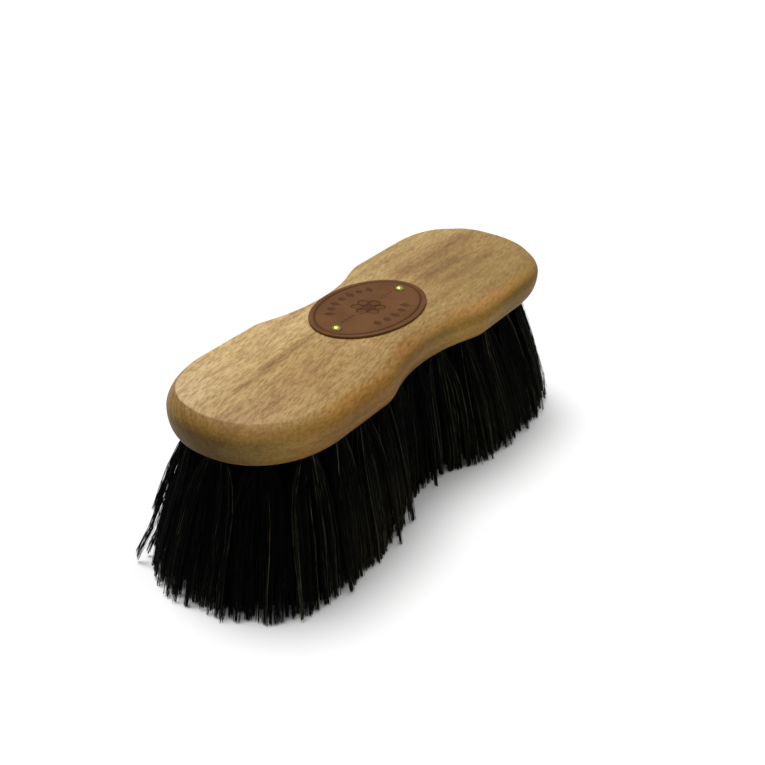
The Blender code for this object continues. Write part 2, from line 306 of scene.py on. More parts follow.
def painted_light_and_tone(tree, place, facing, cloud, colour):
    """The colour with painted light and shade by place and facing, and a tone that differs along the block.
    """
    x, y, z = tree.split(place)
    upward = facing[2]

    # painted shade on the front half and painted light on the rear
    shaded_front_half = tree.ramp(y, -24 * MM, 22 * MM, 1.0, 0.0)
    colour = tree.tinted(shaded_front_half, (0.87, 0.85, 0.78), colour)
    lit_rear = tree.product(tree.ramp(y, 2 * MM, 16 * MM), tree.ramp(x, -20 * MM, 40 * MM, 1.0, 0.4))
    colour = tree.tinted(lit_rear, (1.24, 1.33, 1.50), colour)
    near_part = tree.ramp(x, -90 * MM, -50 * MM, 1.0, 0.0)
    colour = tree.tinted(near_part, (1.02, 1.05, 1.20), colour)
    far_part = tree.ramp(x, -25 * MM, 60 * MM)
    colour = tree.tinted(far_part, (0.87, 0.87, 0.81), colour)

    # painted shade on the sides, with the oiled sides' own ochre
    side = tree.product(tree.ramp(upward, 0.60, 0.97, 1.0, 0.0), tree.ramp(facing[1], 0.1, 0.7, 1.0, 0.3))
    colour = tree.tinted(side, (0.86, 0.74, 0.40), colour)
    # the oil's ochre on the sloped front shoulder, with painted warm light where light falls on it
    ochre_lit_shoulder = tree.product(tree.ramp(upward, 0.30, 0.75), tree.ramp(upward, 0.86, 0.975, 1.0, 0.0),
                            tree.ramp(x, -74 * MM, -52 * MM), tree.ramp(cloud, 0.36, 0.60, 0.12, 0.95))
    colour = tree.mix(ochre_lit_shoulder, colour, BEECH_OCHRE)
    # painted shade low on the sides, near the underside, most on the near half
    low = tree.product(tree.ramp(z, UNDERSIDE + 0.5 * MM, UNDERSIDE + 8 * MM, 1.0, 0.0),
                       tree.ramp(x, -5 * MM, 25 * MM, 1.0, 0.1))
    colour = tree.tinted(low, (0.66, 0.60, 0.50), colour)

    # painted shade on the near end, on its left side and on the far part's sides
    near_end_shade = tree.product(tree.ramp(facing[0], -0.95, -0.35, 1.0, 0.0),
                            tree.ramp(upward, 0.1, 0.9, 1.0, 0.0))
    colour = tree.tinted(near_end_shade, (0.53, 0.58, 0.56), colour)
    leftward = tree.maths("SUBTRACT", tree.product(facing[1], 0.84), tree.product(facing[0], 0.54))
    left_side_shade = tree.product(tree.ramp(leftward, 0.0, 0.6), tree.ramp(upward, 0.80, 0.98, 1.0, 0.0),
                             tree.ramp(x, -75 * MM, -45 * MM, 1.0, 0.0))
    colour = tree.tinted(left_side_shade, (0.58, 0.52, 0.41), colour)
    far_side_shade = tree.product(tree.ramp(x, -10 * MM, 50 * MM), tree.ramp(upward, 0.3, 0.9, 1.0, 0.0))
    colour = tree.tinted(far_side_shade, (0.79, 0.81, 0.56), colour)

    # painted shade on the front near the near end and at the waist
    front = tree.product(tree.ramp(facing[1], -0.25, 0.15, 1.0, 0.0),
                         tree.ramp(upward, 0.90, 0.985, 1.0, 0.0))
    near_front_shade = tree.product(tree.ramp(x, -78 * MM, -60 * MM), tree.ramp(x, -15 * MM, 5 * MM, 1.0, 0.0))
    colour = tree.tinted(tree.product(front, near_front_shade), (0.90, 0.80, 0.62), colour)
    waist = tree.product(tree.ramp(x, -40 * MM, -22 * MM), tree.ramp(x, -4 * MM, 12 * MM, 1.0, 0.0))
    colour = tree.tinted(tree.product(front, waist), (0.86, 0.88, 0.98), colour)
    # painted light on the front's upright faces at the far front and at the near corner
    upright = tree.product(front, tree.ramp(upward, 0.25, 0.75, 1.0, 0.0))
    lit_far_front = tree.product(tree.ramp(x, 11 * MM, 20 * MM), tree.ramp(x, 38 * MM, 54 * MM, 1.0, 0.0))
    colour = tree.tinted(tree.product(upright, lit_far_front), (1.30, 1.31, 1.36), colour)
    lit_near_corner = tree.product(tree.ramp(x, -95 * MM, -90 * MM), tree.ramp(x, -84 * MM, -74 * MM, 1.0, 0.0))
    return tree.tinted(tree.product(upright, lit_near_corner), (1.10, 1.17, 1.22), colour)


def beech():
    """Oiled beech: growth rings round a pith above the block, brown streaks, ray flecks, ochre sides, and
    painted light and shade.
    """
    tree = Tree("oiled_beech")
    place = tree.place()
    x, y, z = tree.split(place)
    facing = tree.split(tree.add("ShaderNodeNewGeometry").outputs["Normal"])

    drift = tree.noise(tree.stretched(place, (9, 30, 30)), 1.0, 1.0)
    rings, fine = growth_rings(tree, y, z, drift)
    colour = tree.mix(tree.ramp(rings, 0.38, 0.66, 0.0, 0.6), BEECH_LIGHT, BEECH_DARK)
    cloud = tree.noise(tree.stretched(place, (16, 45, 45)), 1.0, 2.0)
    colour = tree.mix(tree.ramp(cloud, 0.42, 0.66, 0.0, 0.6), colour, BEECH_CLOUD)
    figure = tree.noise(tree.stretched(place, (13, 170, 170), 0.03), 1.0, 2.0, 0.6)
    colour = tree.tinted(tree.ramp(figure, 0.48, 0.70, 0.0, 0.6), (0.74, 0.70, 0.66), colour)
    colour = streaked(tree, place, drift, colour)

    end_grain = tree.product(tree.ramp(tree.maths("ABSOLUTE", facing[0]), 0.3, 0.7),
                             tree.ramp(y, -8 * MM, 12 * MM))
    line_share = tree.maths("ADD", tree.product(end_grain, 0.50), 0.10)
    colour = tree.mix(tree.product(tree.ramp(fine, 0.48, 0.62), line_share), colour, BEECH_RING_LINE)
    colour = painted_light_and_tone(tree, place, facing, cloud, colour)

    calm = tree.product(tree.ramp(facing[2], 0.60, 0.97, 0.55, 0.80),
                        tree.ramp(x, -20 * MM, 50 * MM, 1.0, 0.72))
    weave = tree.noise(tree.stretched(place, (290, 1150, 1150), FLECK_TURN), 1.0, 2.0, 0.6)
    hollows = tree.product(tree.ramp(weave, 0.36, 0.54, 1.0, 0.0), calm)
    colour = tree.tinted(hollows, (0.72, 0.67, 0.58), colour)
    colour = tree.tinted(tree.product(tree.ramp(weave, 0.50, 0.68), calm), (1.19, 1.20, 1.24), colour)
    cells = tree.add("ShaderNodeTexVoronoi",
                     {"Vector": tree.stretched(place, (260, 1200, 1200), FLECK_TURN), "Scale": 1.0})
    some = tree.add("ShaderNodeSeparateColor", {0: cells.outputs["Color"]}).outputs[0]
    flecks = tree.product(tree.ramp(cells.outputs["Distance"], 0.10, 0.50, 1.0, 0.0),
                          tree.ramp(some, 0.30, 0.90))
    colour = tree.tinted(tree.product(flecks, calm), (0.70, 0.63, 0.52), colour)
    fibre = tree.noise(tree.stretched(place, (200, 2600, 2600), -0.12), 1.0, 2.0)
    colour = tree.tinted(tree.ramp(fibre, 0.42, 0.72, 0.0, 0.5), (0.82, 0.79, 0.72), colour)

    relief = tree.maths("SUBTRACT", weave, tree.product(flecks, 0.4))
    grain = tree.bump(tree.product(relief, calm), 0.13 * MM, 0.7)
    grain = tree.bump(fibre, 0.03 * MM, 0.35, grain)
    roughness = tree.ramp(rings, 0.3, 0.7, 0.50, 0.62)
    return tree.finish(colour, roughness, grain, specular=0.12)


def leather():
    """Smooth brown leather, darker where it is pressed in, with its cut edge's raw colour painted lighter as
    painted light.
    """
    tree = Tree("pressed_leather")
    place = tree.place()
    cloud = tree.noise(place, 90, 3.0)
    colour = tree.mix(tree.ramp(cloud, 0.35, 0.7), LEATHER_DARK, LEATHER_LIGHT)
    pressed = tree.add("ShaderNodeAttribute", attribute_name="pressed").outputs["Fac"]
    colour = tree.mix(tree.product(pressed, 0.75), colour, LEATHER_PRESSED)
    # painted light on the cut edge's wall
    edge = tree.add("ShaderNodeAttribute", attribute_name="lit_cut_edge").outputs["Fac"]
    colour = tree.mix(tree.product(edge, 0.9), colour, LEATHER_LIT_CUT_EDGE)
    pores = tree.add("ShaderNodeTexVoronoi", {"Vector": place, "Scale": 2600})
    wrinkle = tree.noise(place, 1500, 3.0)
    normal = tree.bump(pores.outputs["Distance"], 0.03 * MM, 0.35)
    normal = tree.bump(wrinkle, 0.03 * MM, 0.4, normal)
    roughness = tree.ramp(wrinkle, 0.3, 0.7, 0.58, 0.72)
    return tree.finish(colour, roughness, normal, specular=0.08)


def brass():
    """Polished brass with faint tarnish and rubbed scratches."""
    tree = Tree("nail_brass")
    place = tree.place()
    tarnish = tree.noise(place, 700, 3.0)
    colour = tree.mix(tree.ramp(tarnish, 0.4, 0.7), BRASS_BRIGHT, BRASS_TARNISHED)
    roughness = tree.ramp(tarnish, 0.3, 0.7, 0.12, 0.24)
    scratch = tree.noise(tree.stretched(place, (1200, 9000, 2000)), 1.0, 1.0)
    return tree.finish(colour, roughness, tree.bump(scratch, 0.01 * MM, 0.3), metallic=1.0)


def horsehair(name, dark, light):
    """Hair whose colour drifts from hair to hair and along each one and is lighter towards the tips, with
    painted light along the front and painted shade on the near end's rear side.
    """
    tree = Tree(name)
    place = tree.place()
    x, y, z = tree.split(place)
    island = tree.add("ShaderNodeNewGeometry").outputs["Random Per Island"]
    own_share = tree.ramp(island, 0.2, 0.9)
    along = tree.noise(tree.stretched(place, (500, 500, 60)), 1.0, 2.0)
    colour = tree.mix(tree.product(tree.ramp(island, 0.35, 1.0), tree.ramp(along, 0.35, 0.7)), dark, light)
    towards_tips = tree.ramp(z, 1 * MM, 18 * MM, 0.7, 0.0)
    colour = tree.mix(tree.product(towards_tips, own_share), colour, light)
    # painted light added on the lower hair along the front
    painted_front_light = tree.product(tree.ramp(y, -34 * MM, -20 * MM, 0.6, 0.0), tree.ramp(x, -78 * MM, -55 * MM),
                         tree.ramp(z, 2 * MM, 38 * MM, 1.6, 0.1), tree.ramp(x, -18 * MM, 5 * MM, 1.0, 0.35))
    colour = tree.mix(tree.product(painted_front_light, own_share), colour, HAIR_FRONT_LIGHT, "ADD")
    # painted shade on the near end's rear side
    painted_shade_side = tree.product(tree.ramp(y, -5 * MM, 20 * MM), tree.ramp(x, -88 * MM, -60 * MM, 0.85, 0.0))
    colour = tree.mix(painted_shade_side, colour, HAIR_SHADE)
    roughness = tree.ramp(along, 0.3, 0.7, 0.42, 0.58)
    scales = tree.noise(tree.stretched(place, (3000, 3000, 9000)), 1.0, 1.0)
    return tree.finish(colour, roughness, tree.bump(scales, 0.01 * MM, 0.2), specular=0.038)


def steel_wire():
    """Dull galvanised wire."""
    tree = Tree("anchor_wire")
    spangle = tree.noise(tree.place(), 900, 3.0)
    colour = tree.mix(tree.ramp(spangle, 0.35, 0.7), WIRE_DARK, WIRE_LIGHT)
    return tree.finish(colour, tree.ramp(spangle, 0.3, 0.7, 0.35, 0.5), metallic=1.0)


def floor_paper():
    """A plain white sweep that glows evenly, with the glow taken away under the brush as painted shade."""
    tree = Tree("white_floor")
    under = tree.add("ShaderNodeAttribute", attribute_name="under").outputs["Fac"]
    tree.shader.inputs["Emission Color"].default_value = GLOW_WHITE
    # no glow under the brush: painted shade there
    tree.links.new(tree.ramp(under, 0.0, 1.0, FLOOR_GLOW, 0.0), tree.shader.inputs["Emission Strength"])
    return tree.finish(FLOOR_WHITE, 0.9, specular=0.0)


# ---------------------------------------------------------------- meshes


def add_piece(name, bm, material, replaces=()):
    """A smooth-shaded piece that rides on the brush's one body."""
    bmesh.ops.recalc_face_normals(bm, faces=bm.faces)
    mesh = bpy.data.meshes.new(name)
    bm.to_mesh(mesh)
    bm.free()
    mesh.shade_smooth()
    mesh.materials.append(material)
    return add_mesh_piece(name, mesh, replaces)


def add_mesh_piece(name, mesh, replaces=()):
    """A finished mesh as a piece that rides on the brush's one body."""
    piece = bpy.data.objects.new(name, mesh)
    bpy.context.scene.collection.objects.link(piece)
    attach(piece, "root")
    if replaces:
        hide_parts(*replaces)
    return piece


def half_width(x, fullness):
    """Half the block's width at a place along it: an oblong with round ends, cut in by the waist's arc."""
    end_start = HALF_LENGTH - END_LENGTH
    beyond = max(0.0, abs(x) - end_start) / END_LENGTH
    oblong = HALF_WIDTH * max(0.0, 1 - beyond**fullness) ** (1 / fullness)
    dip = HALF_WIDTH - WAIST_HALF_WIDTH
    waist_radius = (WAIST_REACH**2 + dip**2) / (2 * dip)
    waist = WAIST_HALF_WIDTH + waist_radius - math.sqrt(max(0.0, waist_radius**2 - x * x))
    meeting = max(0.0, 1 - abs(oblong - waist) / WAIST_CORNER_BLEND)
    return min(oblong, waist) - WAIST_CORNER_BLEND * meeting**2 / 4


def quarter_outline(fullness, end_steps, side_steps):
    """The outline's points from +X round to +Y."""
    end_start = HALF_LENGTH - END_LENGTH
    angles = np.arange(end_steps) * math.pi / 2 / end_steps
    places = list(end_start + END_LENGTH * np.cos(angles) ** (2 / fullness))
    places += list(np.linspace(end_start, 0, side_steps + 1))
    return np.array([(x, half_width(x, fullness)) for x in places])


def block_outline(end_steps, side_steps):
    """The widest outline of the block as an array of points, anticlockwise from +X."""
    far = quarter_outline(FAR_END_FULLNESS, end_steps, side_steps)
    near = quarter_outline(NEAR_END_FULLNESS, end_steps, side_steps)
    upper_left = (near * (-1, 1))[-2::-1]
    lower_left = (near * (-1, -1))[1:]
    lower_right = (far * (1, -1))[-2:0:-1]
    return np.concatenate([far, upper_left, lower_left, lower_right])


def outward(points):
    """The outward direction at each point of an anticlockwise outline."""
    along = np.roll(points, -1, 0) - np.roll(points, 1, 0)
    normal = np.stack([along[:, 1], -along[:, 0]], 1)
    return normal / np.linalg.norm(normal, axis=1)[:, None]


def smooth_share(value, low, high):
    """A smooth step from 0 at low to 1 at high."""
    t = np.clip((value - low) / (high - low), 0, 1)
    return t * t * (3 - 2 * t)


def loft(rings):
    """A closed body through rings of points that correspond, with flat ends."""
    bm = bmesh.new()
    loops = [[bm.verts.new(point) for point in ring] for ring in rings]
    for low, high in zip(loops, loops[1:]):
        for i in range(len(low)):
            bm.faces.new((low[i - 1], low[i], high[i], high[i - 1]))
    bm.faces.new(reversed(loops[0]))
    bm.faces.new(loops[-1])
    return bm


def tuft_axes():
    """Each tuft's node name, hole bottom, hole mouth and tip centre, read from its node in the frame."""
    axes = []
    for name in sorted(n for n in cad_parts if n.startswith("hair_tuft_")):
        points = np.array([v.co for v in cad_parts[name].data.vertices])
        tip = points[points[:, 2] < 1 * MM].mean(0)
        bottom = points[points[:, 2] > UNDERSIDE + 5 * MM].mean(0)
        share = (UNDERSIDE - bottom[2]) / (tip[2] - bottom[2])
        axes.append((name, bottom, bottom + (tip - bottom) * share, tip))
    return axes


def softness(outline, normal):
    """How far the top edge is sanded round: crisp at the near end and behind, soft along the front."""
    along = smooth_share(outline[:, 0], -78 * MM, -50 * MM)
    front = smooth_share(-normal[:, 1], -0.25, 0.55)
    return (along * front)[:, None]


def block_rings():
    """Outline rings from the underside up the block's side to the flat top."""
    outline = block_outline(70, 80)
    normal = outward(outline)
    soft = softness(outline, normal)
    less = REAR_FULLNESS * smooth_share(normal[:, 1:], 0.2, 0.8)
    less = less + FAR_EDGE_FULLNESS * smooth_share(normal[:, :1], 0.78, 1.0)
    under_steps, dome_steps = 10, 18
    rings = []

    def ring(crisp, soft_one):
        inset = (crisp[0] * (1 - soft) + soft_one[0] * soft) * (1 - less)
        height = crisp[1] * (1 - soft) + soft_one[1] * soft
        rings.append(np.concatenate([outline - normal * inset, UNDERSIDE + height], 1))

    for step in range(under_steps):
        angle = math.pi / 2 * (1 - step / under_steps)
        inset = UNDERSIDE_INSET * (1 - math.cos(angle))
        height = UNDERSIDE + WIDEST_HEIGHT * (1 - math.sin(angle))
        rings.append(np.concatenate([outline - normal * inset, np.full((len(outline), 1), height)], 1))
    rise = TOP - UNDERSIDE - WIDEST_HEIGHT
    for step in range(dome_steps + 1):
        share = step / dome_steps
        angle = math.pi / 2 * share
        edge_share = min(share, 0.97)
        crisp = (TOP_INSET * edge_share**2, WIDEST_HEIGHT + rise * edge_share)
        soft_one = (SOFT_TOP_INSET * (1 - math.cos(angle)), WIDEST_HEIGHT + rise * math.sin(angle))
        ring(crisp, soft_one)
    top = TOP - UNDERSIDE
    for further in (0.25, 0.5, 1.0):
        ring((TOP_INSET + further * MM, top), (SOFT_TOP_INSET + further * MM, top))
    return rings


def make_block(material, axes):
    """The wooden block, with a blind hole for each tuft and a pilot hole for each nail."""
    bm = loft(block_rings())
    cutters = bmesh.new()
    for _, bottom, mouth, _ in axes:
        bar(cutters, bottom, 2 * mouth - bottom, HOLE_RADIUS, 24)
    for name in NAILS:
        low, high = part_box(name)
        centre = (low + high) / 2
        start, end = (centre.x, centre.y, low.z - 0.2 * MM), (centre.x, centre.y, TOP + 1 * MM)
        bar(cutters, start, end, PILOT_RADIUS, 16)
    block = add_piece("block", bm, material, ("wooden_block",))
    mesh = bpy.data.meshes.new("block_cutters")
    cutters.to_mesh(mesh)
    cutters.free()
    cutter = bpy.data.objects.new("block_cutters", mesh)
    bpy.context.scene.collection.objects.link(cutter)
    boolean = block.modifiers.new("holes", "BOOLEAN")
    boolean.operation = "DIFFERENCE"
    boolean.solver = "EXACT"
    boolean.object = cutter
    graph = bpy.context.evaluated_depsgraph_get()
    cut = bpy.data.meshes.new_from_object(block.evaluated_get(graph))
    block.modifiers.clear()
    block.data = cut
    bpy.data.objects.remove(cutter)
    cut.set_sharp_from_angle(angle=SHARP_BLOCK_EDGE)
    return block


def bar(bm, start, end, radius, sides):
    """Adds a round bar between two points."""
    start, end = Vector(start), Vector(end)
    turn = Vector((0, 0, 1)).rotation_difference(end - start).to_matrix().to_4x4()
    bmesh.ops.create_cone(
        bm,
        cap_ends=True,
        segments=sides,
        radius1=radius,
        radius2=radius,
        depth=(end - start).length,
        matrix=Matrix.Translation((start + end) / 2) @ turn,
    )


def smooth_pit(distance, width):
    """1 in the middle of a pressed line and 0 at its edge, for a distance from its middle."""
    return 1 - smooth_share(distance, 0.35 * width, width)


def hexagon(x, y, cell):
    """How far a place is from the middle of a hexagon, as a distance to its sides."""
    slanted = np.maximum(np.abs(x / 2 + math.sqrt(3) / 2 * y), np.abs(x / 2 - math.sqrt(3) / 2 * y))
    return np.maximum(np.abs(x), slanted) - cell * math.sqrt(3) / 2


def pit(distance):
    """1 inside a pressed shape and 0 outside it, for a distance that is negative inside."""
    return 1 - smooth_share(distance, -0.22 * MM, 0.14 * MM)


def badge_press(x, y, a, b):
    """How deeply the die presses each place.

    The design is a rim line, a honeycomb between two rows of dots, and two arcs of lozenges and cells.
    """
    rim = np.hypot(x / a, y / b)
    scale = np.hypot(x / a**2, y / b**2) / np.maximum(rim, 1e-6)
    to_edge = (1 - rim) / np.maximum(scale, 1e-6)
    press = smooth_pit(np.abs(to_edge - RIM_LINE), RIM_LINE_WIDTH)

    for q, r in ((0, 0), (1, 0), (-1, 0), (0, 1), (0, -1), (1, -1), (-1, 1)):
        cx, cy = CELL * math.sqrt(3) * (q + r / 2), CELL * 1.5 * r
        edge = hexagon(x - cx, y - cy, CELL * 0.84)
        filled = (q - r) % 3 == 0
        press = np.maximum(press, pit(edge) * (1.0 if filled else 0.45))
        press = np.maximum(press, smooth_pit(np.abs(edge), CELL_LINE_WIDTH))
    for sign in (-1, 1):
        for step in range(4):
            dot = np.hypot(x - sign * (9.3 + 2.1 * step) * MM, y - 0.4 * MM)
            press = np.maximum(press, 0.8 * pit(dot - 0.62 * MM))
        count = 7 if sign > 0 else 5
        for step in range(count):
            angle = math.pi / 2 * sign + (step - (count - 1) / 2) * 0.27
            cx, cy = 0.66 * a * math.cos(angle), 0.63 * b * math.sin(angle)
            turn = (angle - math.pi / 2 * sign) * 0.8
            along = (x - cx) * math.cos(turn) + (y - cy) * math.sin(turn)
            out = -(x - cx) * math.sin(turn) + (y - cy) * math.cos(turn)
            if step % 2:
                shape = hexagon(along, out, 1.45 * MM)
            else:
                shape = (np.abs(along) / 1.6 + np.abs(out) / 2.3 - MM) * 1.3
            press = np.maximum(press, pit(shape))
    return press


def make_badge(material):
    """The oval badge: a rounded cut edge, the pressed design and a dish round each nail."""
    centre = (BADGE_LOW + BADGE_HIGH) / 2
    a, b = (BADGE_HIGH.x - BADGE_LOW.x) / 2, (BADGE_HIGH.y - BADGE_LOW.y) / 2
    low, high = TOP + 0.03 * MM, BADGE_HIGH.z - BADGE_SINK
    rings, around = 165, 520
    angle = np.arange(around) * 2 * math.pi / around
    nails = [(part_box(n)[0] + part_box(n)[1]) / 2 for n in NAILS]

    def level(x, y):
        press = badge_press(x, y, a, b)
        dish = sum(np.exp(-(((x - (n.x - centre.x)) ** 2 + (y - (n.y - centre.y)) ** 2) / DISH_RADIUS**2))
                   for n in nails)
        return high - PRESS_DEPTH * press - DISH_DEPTH * dish, press

    layers = []
    pressed, edges = [], []
    for i in range(rings):
        share = 1 - (i + 0.5) / (rings + 0.5)
        reach = 1 - BADGE_EDGE_RADIUS / b * 0.9
        x, y = a * reach * share * np.cos(angle), b * reach * share * np.sin(angle)
        z, press = level(x, y)
        layers.append(np.stack([x + centre.x, y + centre.y, z], 1))
        pressed.append(press)
        edges.append(np.zeros(around))
    layers.reverse()
    pressed.reverse()
    edges.reverse()
    for step in range(1, 7):
        turn = math.pi / 2 * step / 6
        shrink = BADGE_EDGE_RADIUS * (1 - math.sin(turn)) * 0.9
        x, y = (a - shrink) * np.cos(angle), (b - shrink) * np.sin(angle)
        z = np.full(around, high - BADGE_EDGE_RADIUS * (1 - math.cos(turn)))
        layers.append(np.stack([x + centre.x, y + centre.y, z], 1))
        pressed.append(np.zeros(around))
        edges.append(np.full(around, 0.1 * step / 6))
    for z, shrink in ((low + 0.45 * MM, 0.0), (low, 0.2 * MM)):
        x, y = (a - shrink) * np.cos(angle), (b - shrink) * np.sin(angle)
        layers.append(np.stack([x + centre.x, y + centre.y, np.full(around, z)], 1))
        pressed.append(np.zeros(around))
        edges.append(np.ones(around))

    bm = loft(layers[::-1])
    badge = add_piece("badge", bm, material, ("leather_badge",))
    # the pressed marks and the cut edge with its painted light, as point attributes
    for name, values in (("pressed", pressed), ("lit_cut_edge", edges)):
        attribute = badge.data.attributes.new(name, "FLOAT", "POINT")
        attribute.data.foreach_set("value", np.concatenate(values[::-1]))
    badge.data.set_sharp_from_angle(angle=math.radians(50))
    return badge


def make_nail(name, material):
    """A nail: a high domed head sunk a little in the leather, a shank with grip rings, and a point."""
    low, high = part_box(name)
    centre = (low + high) / 2
    head_radius = (high.x - low.x) / 2
    seat = BADGE_HIGH.z - BADGE_SINK - 0.2 * MM
    profile = []
    for step in range(17):
        angle = math.pi / 2 * step / 16
        height = seat + NAIL_HEAD_HEIGHT * (0.16 + 0.84 * math.cos(angle))
        profile.append((head_radius * math.sin(angle), height))
    profile += [(head_radius * 0.97, seat + 0.05 * MM), (head_radius * 0.9, seat), (NAIL_SHANK, seat)]
    for ring in range(4):
        z = seat - (1.2 + 0.5 * ring) * MM
        profile += [(NAIL_SHANK, z), (NAIL_SHANK * 1.12, z - 0.12 * MM), (NAIL_SHANK, z - 0.24 * MM)]
    profile += [(NAIL_SHANK, low.z + 1.5 * MM), (0.02 * MM, low.z)]
    angle = np.arange(NAIL_SIDES) * 2 * math.pi / NAIL_SIDES
    rings = [np.stack([centre.x + r * np.cos(angle), centre.y + r * np.sin(angle), np.full(NAIL_SIDES, z)], 1)
             for r, z in [(max(radius, 0.01 * MM), z) for radius, z in profile]]
    bm = loft(rings[::-1])
    nail = add_piece(name + "_brass", bm, material, (name,))
    nail.data.set_sharp_from_angle(angle=math.radians(45))
    return nail


def make_anchor(name, bottom, mouth, material):
    """The flat wire across the bottom of a hole that pins the folded hair."""
    axis = (Vector(mouth) - Vector(bottom)).normalized()
    across = Vector((-axis.y, axis.x, 0))
    across = across.normalized() if across.length > 1e-6 else Vector((0, 1, 0))
    third = axis.cross(across)
    length, height, thickness, chamfer = 4.6 * MM, 1.6 * MM, 0.4 * MM, 0.12 * MM
    start = Vector(bottom) + axis * 0.9 * MM
    bm = bmesh.new()
    bmesh.ops.create_cube(bm, size=1.0)
    bmesh.ops.scale(bm, vec=(length, thickness, height), verts=bm.verts)
    bmesh.ops.bevel(bm, geom=bm.edges, offset=chamfer, segments=2, affect="EDGES")
    basis = Matrix((across, third, axis)).transposed().to_4x4()
    bmesh.ops.transform(bm, matrix=Matrix.Translation(start) @ basis, verts=bm.verts)
    return add_piece(name, bm, material)


# ---------------------------------------------------------------- hair


def tip_outline():
    """The outline of the whole brush's hair tips."""
    outline = block_outline(24, 30)
    normal = outward(outline)
    endwise = normal[:, 0] ** 2
    waist = np.exp(-(np.abs((outline[:, 0] - WAIST_MIDDLE) / WAIST_STRETCH) ** 3))
    end = np.where(outline[:, 0] < 0, FLARE_NEAR_END, FLARE_FAR_END)
    flare = FLARE_SIDE * (1 - endwise) * (1 - waist) + FLARE_WAIST * waist + end * endwise
    for x, y, stretch, further in FLARE_CORNERS:
        flare += further * MM * np.exp(-((outline / MM - (x, y)) ** 2).sum(1) / stretch**2)
    return outline + normal * flare[:, None]


def inside(points, outline):
    """Which points lie inside a closed outline."""
    x, y = points[:, 0][:, None], points[:, 1][:, None]
    x0, y0 = outline.T
    x1, y1 = np.roll(outline, -1, 0).T
    crossing = (y0 > y) != (y1 > y)
    where = x0 + (y - y0) * (x1 - x0) / np.where(y1 == y0, 1e-12, y1 - y0)
    return (crossing & (x < where)).sum(1) % 2 == 1


def tip_places(axes, outline, normal):
    """For each tuft, the places on the trim plane that are nearer to its tip than to any other's."""
    centres = np.array([tip[:2] for _, _, _, tip in axes])
    outer = to_outline(centres, outline)[1] < OUTER_TUFT_REACH
    counts = np.where(outer, HAIRS_IN_OUTER_TUFT, HAIRS_IN_INNER_TUFT)
    places = [[] for _ in axes]
    missing = set(range(len(axes)))
    while missing:
        points = rng.uniform(outline.min(0), outline.max(0), (40000, 2))
        points = points[inside(points, outline)]
        nearest = ((points[:, None] - centres[None]) ** 2).sum(-1).argmin(1)
        for i in list(missing):
            places[i] = [*places[i], *points[nearest == i]][: counts[i]]
            if len(places[i]) == counts[i]:
                missing.discard(i)
    return [crowded(np.array(p), outline, normal) for p in places]


def to_outline(points, outline):
    """Each point's nearest outline point, by number, and the distance to it."""
    distance = ((points[:, None] - outline[None]) ** 2).sum(-1)
    return distance.argmin(1), np.sqrt(distance.min(1))


def crowded(places, outline, normal):
    """The places, with those close to the outline moved still closer, so that the brush's face is dense."""
    at, distance = to_outline(places, outline)
    wanted = CROWDING_REACH * (np.minimum(distance, CROWDING_REACH) / CROWDING_REACH) ** 1.7
    move = np.where(distance < CROWDING_REACH, distance - wanted, 0)
    return places + normal[at] * move[:, None]


def clumped(places, mouth, outline, normal):
    """The tips drawn together in clumps, how early each hair bends to its tip, and how light it is."""
    count = len(places)
    seeds = rng.choice(count, count // HAIRS_IN_CLUMP, replace=False)
    nearest = ((places[:, None] - places[seeds][None]) ** 2).sum(-1).argmin(1)
    pull = rng.uniform(*CLUMP_PULL, len(seeds))[nearest][:, None]
    tips = places + (places[seeds][nearest] - places) * pull
    at, distance = to_outline(places, outline)
    near_edge = np.exp(-distance / (3 * MM))[:, None]
    lean = rng.normal(*CLUMP_LEAN, len(seeds))
    lean = lean + (rng.uniform(0, 1, len(seeds)) < FAR_LEANING_CLUMPS) * FAR_LEAN
    tips = tips + normal[at] * lean[nearest][:, None] * near_edge
    tips = tips + rng.normal(0, TIP_SCATTER, tips.shape)
    height = np.abs(rng.normal(0, 0.45 * MM, len(seeds)))[nearest] + rng.uniform(0.03, 0.45, count) * MM

    stray, haste, cut = np.zeros(len(seeds)), np.ones(len(seeds)), np.ones(len(seeds))
    for x, y, stretch, reach, own_haste, own_length in UNRULY:
        near = np.exp(-((places[seeds] / MM - (x, y)) ** 2).sum(1) / stretch**2)
        chosen = rng.uniform(0, 1, len(seeds)) < 0.6 * near
        stray = np.where(chosen, reach * rng.uniform(0.3, 1.1, len(seeds)), stray)
        haste = np.where(chosen, own_haste * rng.uniform(0.85, 1.15, len(seeds)), haste)
        cut = np.where(chosen, own_length, cut)
    alone = rng.uniform(0, 1, count) < LONE_HAIRS
    out = np.where(alone, rng.uniform(0.8, 2.6, count), stray[nearest])
    wild = (out > 0) & (distance < 4 * MM)
    spread = places[seeds][nearest] + (places - places[seeds][nearest]) * 0.2
    spread = spread + normal[at[seeds]][nearest] * (out * MM)[:, None] + rng.normal(0, 0.25 * MM, tips.shape)
    tips = np.where(wild[:, None], spread, tips)
    usual = UNDERSIDE**2 + ((places - mouth[:2]) ** 2).sum(1)
    length = usual * (cut[nearest] * rng.uniform(0.92, 1.0, count)) ** 2
    drop = np.sqrt(length - np.minimum(((tips - mouth[:2]) ** 2).sum(1), 0.5 * length))
    height = np.where(wild, np.maximum(UNDERSIDE - drop, height), height)
    haste = np.where(wild, haste[nearest], rng.uniform(1.0, 1.6, count))
    in_light_clump = (rng.uniform(0, 1, len(seeds)) < LIGHT_CLUMPS)[nearest]
    light = rng.uniform(0, 1, count) < np.where(in_light_clump, LIGHT_IN_LIGHT_CLUMP, LIGHT_ELSEWHERE)
    return np.concatenate([tips, height[:, None]], 1), haste, light


